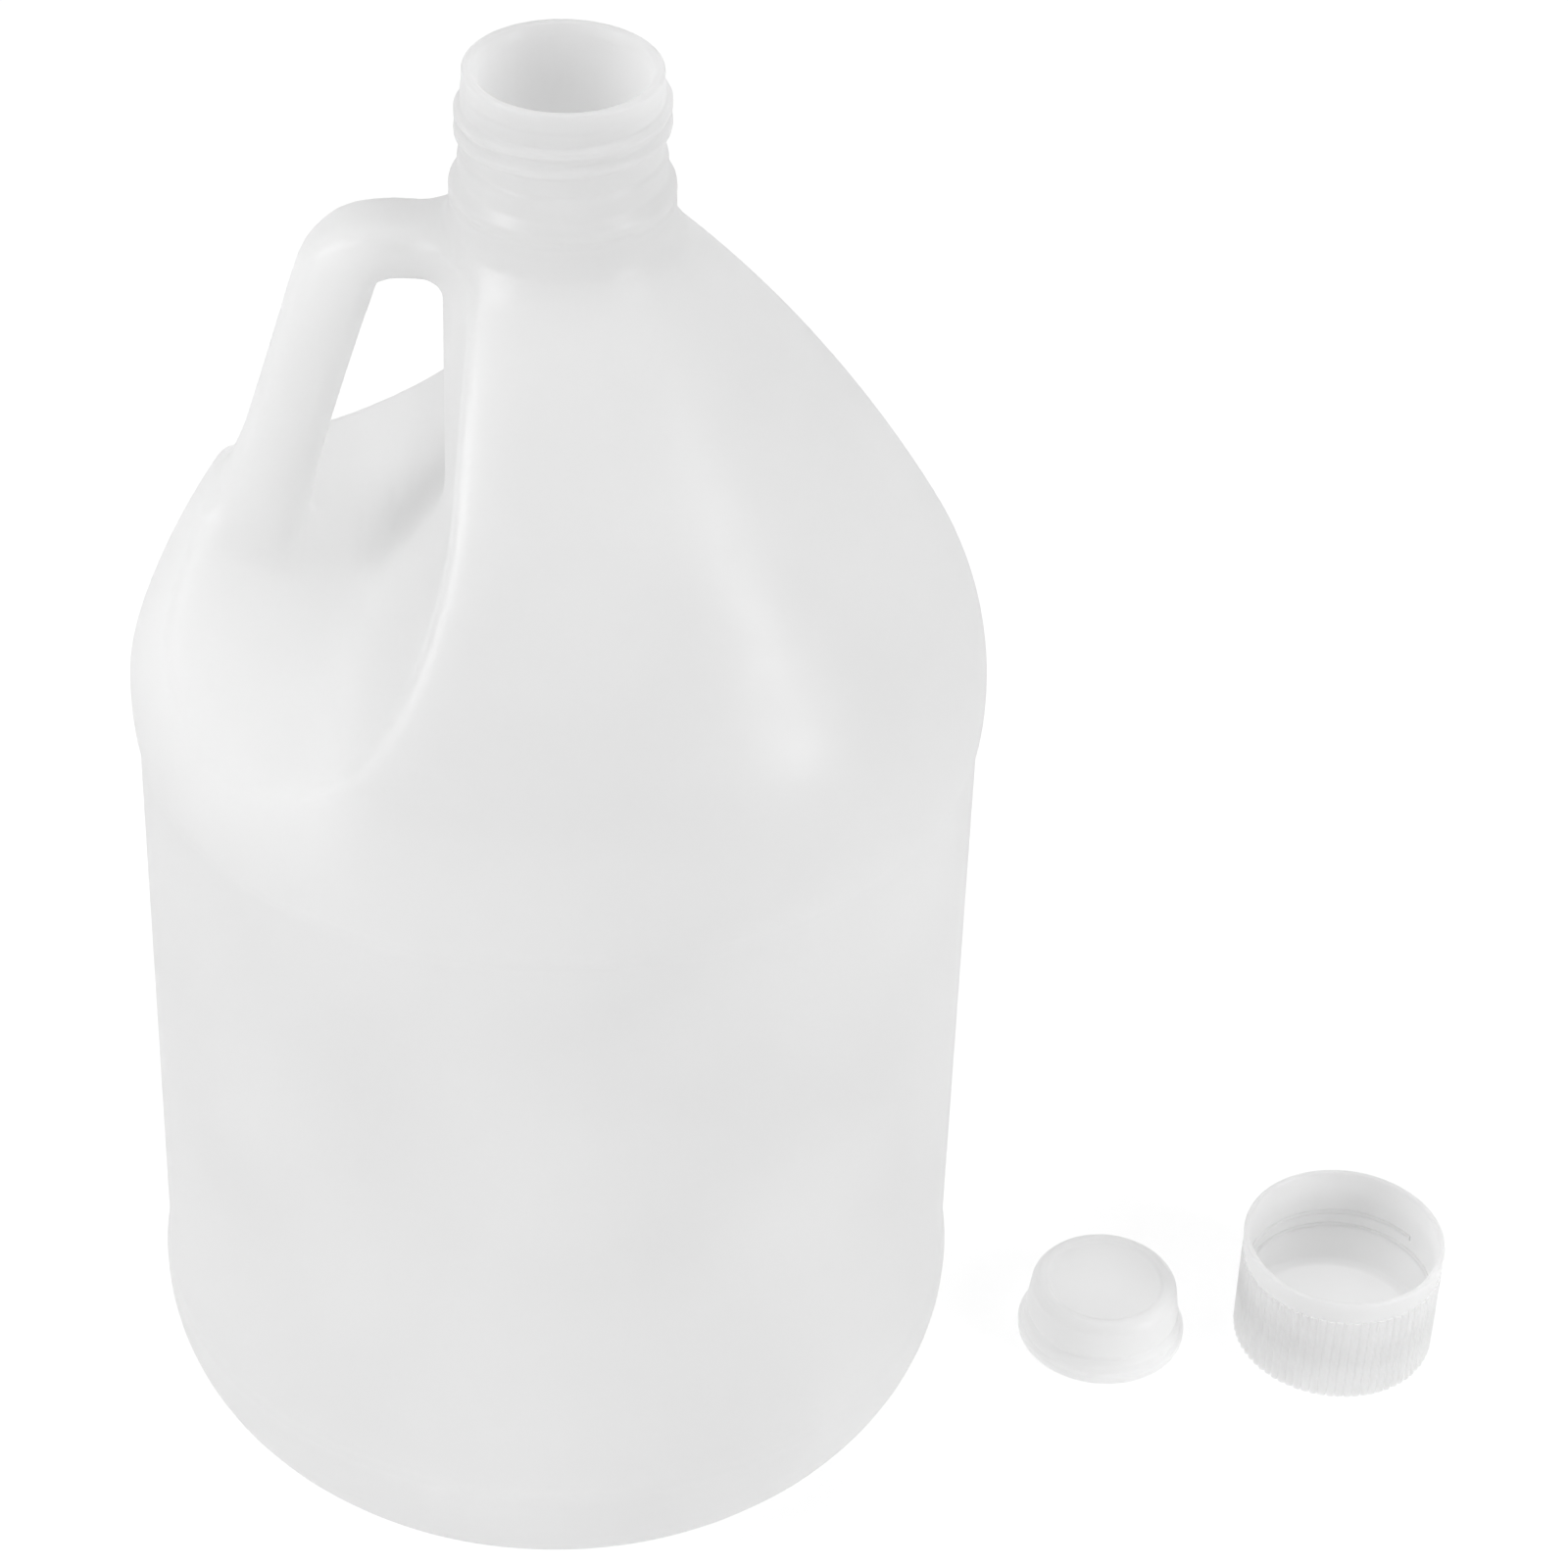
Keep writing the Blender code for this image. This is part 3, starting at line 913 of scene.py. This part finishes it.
@dataclass
class Jug:
    """The jug: one hollow skin with its neck, its grip pockets and its handle.

    Attributes:
        axis: Place of its axis, in millimetres.
        shape: Its sizes.
        finish: Its plastic.
        net: Cell size of the outer and the inner skin where they are found from the field.
        join_z: Heights where the turned body meets the field's skin, and where that meets the turned neck.
    """

    axis: Pair
    shape: JugShape
    finish: MouldedPlastic
    net: Pair = (1.6, 3.2)
    join_z: Pair = (168.0, 267.0)

    def row(self, radius: float, height: float) -> RowRule:
        """A plain turned row."""
        return lambda angles: np.column_stack([np.full(len(angles), radius), np.full(len(angles), height)])

    def thread_row(self, height: float) -> RowRule:
        """A row across the screw thread, where the radius grows over the thread's crest.

        Args:
            height: Height of the row.

        Returns:
            The row's rule.
        """
        s = self.shape
        start = math.radians(s.thread_start_deg)

        def rule(angles: Points) -> Points:
            """Lifts the thread's crest where it crosses this row.

            Args:
                angles: The row's angles round the axis.

            Returns:
                Radius and height at each of them.
            """
            lift = np.zeros(len(angles))
            for lap in range(4):
                along = (angles - start) % (2.0 * math.pi) / (2.0 * math.pi) + lap
                centre = s.thread_low_z + s.thread_pitch * along
                ends = np.clip(np.minimum(along, s.thread_turns - along) / s.thread_run_out, 0.0, 1.0)
                across = np.clip(1.0 - np.abs(height - centre) / s.thread_half_w, 0.0, 1.0)
                crest = np.clip(across / s.thread_flank, 0.0, 1.0)
                rise = crest * crest * (3.0 - 2.0 * crest)
                lift = np.maximum(lift, rise * ends * (3.0 - 2.0 * ends) * ends)
            radius = s.root + (s.thread - s.root) * lift
            return np.column_stack([radius, np.full(len(angles), height)])

        return rule

    def neck_rows(self) -> list[RowRule]:
        """Rows up the outside of the neck, over its lip and down its bore.

        Returns:
            The rows, lowest first outside and highest first inside.
        """
        s = self.shape
        outside = [(s.neck, 268.2), (s.neck, 270.4), (s.neck - 0.35, 271.2), (s.neck, 272.0)]
        outside += [(s.neck - 0.1, 273.3), (s.neck - 0.6, 274.1), (s.band + 0.2, 275.1), (s.band, 275.9)]
        outside += [(s.band, 278.3), (s.band - 0.2, 279.1), (s.root, 279.7)]
        rows = [self.row(*point) for point in rounded(outside, 0.45)]
        rows += [self.thread_row(z) for z in np.arange(*s.thread_rows)]
        lip = [(s.root, 291.3), (s.lip, 291.9), (s.lip, s.top_z), (s.bore + 0.9, s.top_z)]
        lip += [(s.bore, s.top_z - 2.2), (s.bore, 277.0), (17.0, 271.5), (s.neck - s.wall - 0.3, 269.2)]
        return rows + [self.row(*point) for point in rounded(lip, 0.7, 4)]

    def body_rows(self, inset: float) -> list[RowRule]:
        """Rows from the widest part of the body down its panel, round its heel and in under its base.

        Args:
            inset: How far inside the outer skin these rows lie.

        Returns:
            The rows, top first.
        """
        s = self.shape
        radius_1 = s.shoulder_1[0]
        centre = (s.bulge[0] - radius_1, s.bulge[1])
        line = arc(centre, radius_1 - inset, -2.6, -6.5, 4)
        step, low = s.panel_z[1], s.panel_z[0]
        side = s.panel - inset
        line += [(side, step - 0.6), (side, step - 3.0)]
        line += [(side, z) for z in np.linspace(step - 20.0, low + 14.0, 4)]
        line += [(side, low + 2.5), (s.panel + 0.15 - inset, low), (s.panel + 0.9 - inset, low - 1.8)]
        line += arc((s.foot_out, s.heel), s.heel - inset, 0.0, -90.0, 13)
        if inset:
            line += [(s.foot_in, inset), (s.dish[0], s.dish[1] + inset), (12.0, s.dish[1] + inset + 0.3)]
        else:
            line += [(s.foot_in, 0.0), (s.foot_in - 1.5, 0.6), (s.dish[0], s.dish[1]), (12.0, s.dish[1])]
        return [self.row(*point) for point in rounded(line, 0.5, 1 if inset else 2)[1:]]

    def build(self) -> None:
        """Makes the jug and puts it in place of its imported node."""
        jug_field = JugField(self.shape)
        skin = SkinBuilder()
        reach = self.shape.bulge[0] + 3.0
        necks = []
        for inset, step in zip((0.0, self.shape.wall), self.net):
            low = (-reach, -reach, self.join_z[0] - inset)
            high = (reach, reach, self.join_z[1] + inset)
            points, quads = grid_surface(lambda x, y, z: jug_field.value(x, y, z) + inset, low, high, step)
            loops = skin.add_net(points, quads)
            loops.sort(key=lambda loop: float(skin.place(loop)[:, 2].mean()))
            log.info("skin at %.1f mm: %d points, %d open loops", inset, len(points), len(loops))
            foot = skin.follow(loops[0], self.body_rows(inset))
            skin.close(foot, self.shape.dish[1] + inset)
            necks.append(loops[-1])
        mouth = skin.follow(necks[0], self.neck_rows())
        skin.bridge(mouth, necks[1])
        points = np.concatenate(skin.points) + [self.axis[0], self.axis[1], 0.0]
        jug = closed_object("jug_skin", points * MM, skin.faces)
        finish_piece(jug, self.finish.build(), "jug", 60.0)


@dataclass
class Cap:
    """The screw cap, lying on its closed end: a turned shell, upright ribs round it, and a thread inside it.

    Attributes:
        centre: Place of its axis, in millimetres.
        finish: Its plastic.
        rib_finish: The same plastic where it is slim, in the ribs.
        rib: Half the width of a rib.
        rib_flat: How thick a rib is from the inside out, as a share of its width.
    """

    centre: Pair
    finish: MouldedPlastic
    rib_finish: MouldedPlastic
    radius: float = 20.3
    rim: float = 20.7
    height: float = 26.0
    wall: float = 1.4
    band: float = 5.2
    ribs: int = 72
    rib: float = 0.8
    rib_flat: float = 0.55
    rib_low: float = 0.25
    thread_pitch: float = 3.6
    thread_turns: float = 1.9
    thread_bead: float = 0.62
    thread_low: float = 9.0

    def shell(self) -> bpy.types.Object:
        """Turns the shell: closed end, skirt, step under the plain band, rim and inside.

        Returns:
            The shell.
        """
        r, h, shelf = self.radius, self.height, self.height - self.band
        bore = self.rim - self.wall
        line = [(0.0, 0.0), (r - 0.7, 0.0), (r - 0.1, 0.7), (r - 0.05, shelf), (r + 0.1, shelf + 0.15)]
        line += [(self.rim, h - 2.0), (self.rim, h), (bore + 0.2, h), (bore, h - 1.8), (bore, 2.6)]
        line += [(bore - 1.4, self.wall), (0.0, self.wall)]
        return turned("cap_shell", rounded(line, 0.5), self.centre)

    def rib_tree(self, material: Material) -> Tree:
        """The node tree of the ribs: one slim rib, instanced on the points of a circle and turned outwards.

        Args:
            material: The plastic of the ribs.

        Returns:
            The tree.
        """
        length = self.height - self.band + 0.1 - self.rib_low
        tree = new_tree("upright_ribs", {"Radius": self.radius - 0.1, "Rib": self.rib, "Length": length})
        given = add_node(tree, "NodeGroupInput").outputs
        round_line = {"Vertices": self.ribs, "Radius": given["Radius"]}
        circle = add_node(tree, "GeometryNodeMeshCircle", inputs=round_line)
        slim = {"Vertices": 14, "Radius Top": given["Rib"], "Radius Bottom": given["Rib"]}
        rib = add_node(tree, "GeometryNodeMeshCone", inputs=slim | {"Depth": given["Length"]})
        position = add_node(tree, "GeometryNodeInputPosition").outputs["Position"]
        outwards = add_node(tree, "FunctionNodeAlignRotationToVector", {"axis": "X"}, {"Vector": position})
        stand = {
            "Points": circle.outputs["Mesh"],
            "Instance": rib.outputs["Mesh"],
            "Rotation": outwards.outputs["Rotation"],
            "Scale": (self.rib_flat, 1.0, 1.0),
        }
        stood = add_node(tree, "GeometryNodeInstanceOnPoints", inputs=stand)
        end_tree(tree, stood.outputs["Instances"], (*self.centre, self.rib_low), material)
        return tree

    def thread_tree(self, material: Material) -> Tree:
        """The node tree of the thread: a low rib swept along a helix inside the skirt.

        Args:
            material: The cap's plastic.

        Returns:
            The tree.
        """
        sizes = {"Radius": self.rim - self.wall + 0.15, "Pitch": self.thread_pitch}
        tree = new_tree("cap_thread_helix", sizes)
        given = add_node(tree, "NodeGroupInput").outputs
        lift = {0: given["Pitch"], 1: self.thread_turns}
        climb = add_node(tree, "ShaderNodeMath", {"operation": "MULTIPLY"}, lift)
        spiral = {"Resolution": 90, "Rotations": self.thread_turns, "Height": climb.outputs[0]}
        spiral |= {"Start Radius": given["Radius"], "End Radius": given["Radius"]}
        helix = add_node(tree, "GeometryNodeCurveSpiral", inputs=spiral)
        section = {"Resolution": 10, "Radius": self.thread_bead * MM}
        bead = add_node(tree, "GeometryNodeCurvePrimitiveCircle", inputs=section)
        sweep = {"Curve": helix.outputs["Curve"], "Profile Curve": bead.outputs["Curve"], "Fill Caps": True}
        swept = add_node(tree, "GeometryNodeCurveToMesh", inputs=sweep)
        end_tree(tree, swept.outputs["Mesh"], (*self.centre, self.thread_low), material)
        return tree

    def build(self) -> None:
        """Makes the cap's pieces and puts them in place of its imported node."""
        material = self.finish.build()
        slim = self.rib_finish.build()
        finish_piece(self.shell(), material, "cap", 32.0)
        finish_piece(grown("cap_ribs", self.rib_tree(slim)), slim, "cap", 50.0)
        finish_piece(grown("cap_thread", self.thread_tree(material)), material, "cap", 50.0)


def new_tree(name: str, sizes: dict[str, float]) -> Tree:
    """Starts a geometry tree with a named input for each size.

    Args:
        name: The tree's name.
        sizes: Each input's name and its size in millimetres.

    Returns:
        The tree, with its sizes in metres as defaults.
    """
    tree = bpy.data.node_groups.new(name, "GeometryNodeTree")
    tree.interface.new_socket("Geometry", in_out="OUTPUT", socket_type="NodeSocketGeometry")
    for label, size in sizes.items():
        socket = tree.interface.new_socket(label, in_out="INPUT", socket_type="NodeSocketFloat")
        socket.default_value = size * MM
    return tree


def end_tree(tree: Tree, shape: Socket, place: Place, material: Material) -> None:
    """Ends a geometry tree: puts its shape in place, as real meshes that carry a material.

    Args:
        tree: The tree.
        shape: The socket that gives its geometry.
        place: Where the shape goes, in millimetres.
        material: The material of the result.
    """
    shift = {"Geometry": shape, "Translation": tuple(n * MM for n in place)}
    placed = add_node(tree, "GeometryNodeTransform", inputs=shift)
    real = add_node(tree, "GeometryNodeRealizeInstances", inputs={"Geometry": placed.outputs["Geometry"]})
    dress = {"Geometry": real.outputs["Geometry"], "Material": material}
    dressed = add_node(tree, "GeometryNodeSetMaterial", inputs=dress)
    add_node(tree, "NodeGroupOutput", inputs={"Geometry": dressed.outputs["Geometry"]})


def grown(name: str, tree: Tree) -> bpy.types.Object:
    """Runs a geometry tree on an empty mesh and keeps its result as a plain mesh.

    Args:
        name: The object's name.
        tree: The tree. Its sizes are set on the modifier by each socket's identifier.

    Returns:
        The object, with no modifier left on it.
    """
    obj = linked(name, bpy.data.meshes.new(name))
    modifier = obj.modifiers.new(name, "NODES")
    modifier.node_group = tree
    for item in tree.interface.items_tree:
        if item.in_out == "INPUT":
            modifier[item.identifier] = item.default_value
    graph = bpy.context.evaluated_depsgraph_get()
    graph.update()
    mesh = bpy.data.meshes.new_from_object(obj.evaluated_get(graph))
    obj.modifiers.clear()
    obj.data = mesh
    return obj


@dataclass
class Plug:
    """The inner plug, lying on its flange: a turned stopper with a groove, a bead and a slightly sunk top.

    Attributes:
        centre: Place of its axis, in millimetres.
        finish: Its plastic.
    """

    centre: Pair
    finish: MouldedPlastic
    flange: float = 17.3
    flange_h: float = 2.0
    groove: float = 15.0
    bead: float = 16.3
    top: float = 14.6
    height: float = 13.5
    disc: float = 12.0
    sunk: float = 0.5
    wall: float = 1.3

    def build(self) -> None:
        """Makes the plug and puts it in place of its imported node."""
        h = self.height
        inner = self.groove - self.wall
        ceiling = h - self.sunk - self.wall
        line = [(0.0, ceiling), (inner - 2.0, ceiling), (inner - 0.6, ceiling - 1.5), (inner, 0.0)]
        line += [(self.flange - 0.1, 0.0), (self.flange, self.flange_h - 0.3)]
        line += [(self.flange - 0.5, self.flange_h), (self.bead, self.flange_h + 0.2), (self.bead - 0.1, 3.8)]
        line += [(self.groove, 4.7), (self.groove, 5.4), (self.groove + 0.8, 6.0), (self.top + 0.5, 11.7)]
        line += [(self.top - 0.2, 12.8), (self.top - 1.1, h), (self.disc + 0.2, h)]
        line += [(self.disc - 0.4, h - self.sunk), (0.0, h - self.sunk)]
        plug = turned("plug_body", rounded(line, 0.4, 4), self.centre)
        finish_piece(plug, self.finish.build(), "plug", 40.0)


@dataclass
class Studio:
    """The plain pale floor, the soft lights and the camera of the photo.

    Attributes:
        axis: Place of the jug's axis, in millimetres, that the camera's place is counted from.
        eye: Where the camera is, in millimetres from the foot of that axis.
        forward: Which way it looks.
        right: Which way is right in its picture.
        focal_px: Its focal length, in pixels of the photo.
    """

    axis: Pair
    eye: Place = (42.35, -694.64, 673.23)
    forward: Place = (0.0, 0.79575, -0.60562)
    right: Place = (0.99912, 0.02534, 0.03330)
    focal_px: float = 4717.0

    def camera(self) -> None:
        """Makes the camera at the photo's viewing angle, with its small roll."""
        data = bpy.data.cameras.new("photo_view")
        data.sensor_width = 36.0
        data.lens = self.focal_px / PHOTO_PX * data.sensor_width
        data.clip_start = 0.01
        data.clip_end = 50.0
        camera = linked("photo_view", data)
        forward = Vector(self.forward).normalized()
        right = Vector(self.right)
        right = (right - forward * right.dot(forward)).normalized()
        up = right.cross(forward)
        turn = Matrix((right, up, -forward)).transposed().to_4x4()
        eye = Vector((self.axis[0] + self.eye[0], self.axis[1] + self.eye[1], self.eye[2])) * MM
        camera.matrix_world = Matrix.Translation(eye) @ turn
        bpy.context.scene.camera = camera

    def floor(self) -> None:
        """Makes the sheet of backing paper that the pieces stand on."""
        half = 3.0
        sheet = [(-half, -half, 0.0), (half, -half, 0.0), (half, half, 0.0), (-half, half, 0.0)]
        mesh = bpy.data.meshes.new("paper_floor")
        mesh.from_pydata(sheet, [], [(0, 1, 2, 3)])
        mesh.materials.append(StudioPaper().build())
        linked("paper_floor", mesh)

    def panel(self, name: str, place: Place, size: Pair, watts: float) -> None:
        """Hangs a soft rectangular light that faces the pieces.

        Args:
            name: The light's name.
            place: Where it hangs, in metres.
            size: Its width and height, in metres.
            watts: Its strength.
        """
        data = bpy.data.lights.new(name, "AREA")
        data.shape = "RECTANGLE"
        data.size, data.size_y = size
        data.energy = watts
        light = linked(name, data)
        middle_of_jug = Vector((0.0, 0.0, 0.12))
        aim = middle_of_jug - Vector(place)
        light.matrix_world = Matrix.Translation(place) @ aim.to_track_quat("-Z", "Y").to_matrix().to_4x4()

    def lights(self) -> None:
        """Sets a white surround, a wide panel above, a tall strip at the right and a panel at the left."""
        world = bpy.data.worlds.new("white_surround")
        world.use_nodes = True
        fill(world.node_tree.nodes["Background"], {"Color": linear("ffffff"), "Strength": 0.34})
        bpy.context.scene.world = world
        self.panel("overhead_panel", (0.0, 0.25, 1.45), (1.4, 1.4), 8.5)
        self.panel("right_strip", (1.3, -0.58, 0.66), (0.32, 0.9), 9.0)
        self.panel("left_panel", (-1.25, -0.7, 1.0), (0.8, 0.8), 14.0)
        bpy.context.scene.view_settings.view_transform = "Standard"
        bpy.context.scene.view_settings.look = "None"
        # The few broad lights need no sorting by place, and each sample is quicker without it.
        bpy.context.scene.cycles.use_light_tree = False

    def build(self) -> None:
        """Makes the floor, the lights and the camera."""
        self.floor()
        self.lights()
        self.camera()


def middle(node: str) -> Pair:
    """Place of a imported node's upright axis, in millimetres."""
    low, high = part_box(node)
    return ((low[0] + high[0]) / 2.0 / MM, (low[1] + high[1]) / 2.0 / MM)


def corners(box: tuple[Vector, Vector]) -> list[list[float]]:
    """A box as plain lists of numbers."""
    return [[float(v) for v in corner] for corner in box]


# Polypropylene, stiff and pale: the cap's shell, darker at its closed end with painted shade, at the bottom
# of its cup where it lies on the paper.
LID = MouldedPlastic(
    resin=Resin.NATURAL_PP,
    thin="fefefe",
    thick="fcfcfc",
    drift_mm=15.0,
    skin_mm=2.0,
    roughness=(0.34, 0.46),
    through=0.62,
    # Painted shade: the lowest few millimetres of the shell, the bottom of the open cup, are darker.
    zones=(Zone((("Z", 3.0, 1.5),), "f8f8f8"),),
)
# The same polypropylene in the cap's slim ribs, where more of the light comes through.
RIBS = replace(LID, resin=Resin.SLIM_PP, thick="fdfdfd", through=0.9, zones=())
# Low-density polyethylene, soft enough to press into the neck: the plug.
STOPPER = MouldedPlastic(
    resin=Resin.SOFT_LDPE,
    thin="fdfdfd",
    thick="fbfbfb",
    drift_mm=12.0,
    skin_mm=2.5,
    roughness=(0.36, 0.48),
    through=0.6,
)


def jug_plastic(axis_x: float) -> MouldedPlastic:
    """High-density polyethylene, blown thin: paler round the handle and its grip pockets, where painted light
    lifts their shade, and a shade darker at the neck.

    Args:
        axis_x: Place of the jug's axis along X, in millimetres.

    Returns:
        The jug's plastic.
    """
    # Painted light: the handle side above the panel, with the handle and its grip pockets, is paler to lift
    # their shade.
    handle = Zone((("X", axis_x - 26.0, axis_x - 40.0), ("Z", 158.0, 192.0)), "fdfdfd")
    neck = Zone((("Z", 258.0, 270.0),), "f5f5f5")
    return MouldedPlastic(
        resin=Resin.NATURAL_HDPE,
        thin="fafafa",
        thick="f7f7f7",
        drift_mm=45.0,
        skin_mm=7.0,
        roughness=(0.28, 0.38),
        through=0.76,
        zones=(handle, neck),
    )


def main() -> None:
    """Builds the pieces in order."""
    logging.basicConfig(level=logging.INFO, format="%(name)s: %(message)s")
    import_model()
    jug_axis = middle("jug")
    Jug(jug_axis, JugShape(), jug_plastic(jug_axis[0])).build()
    Plug(middle("plug"), STOPPER).build()
    Cap(middle("cap"), LID, RIBS).build()
    Studio(jug_axis).build()


if __name__ == "__main__":
    main()
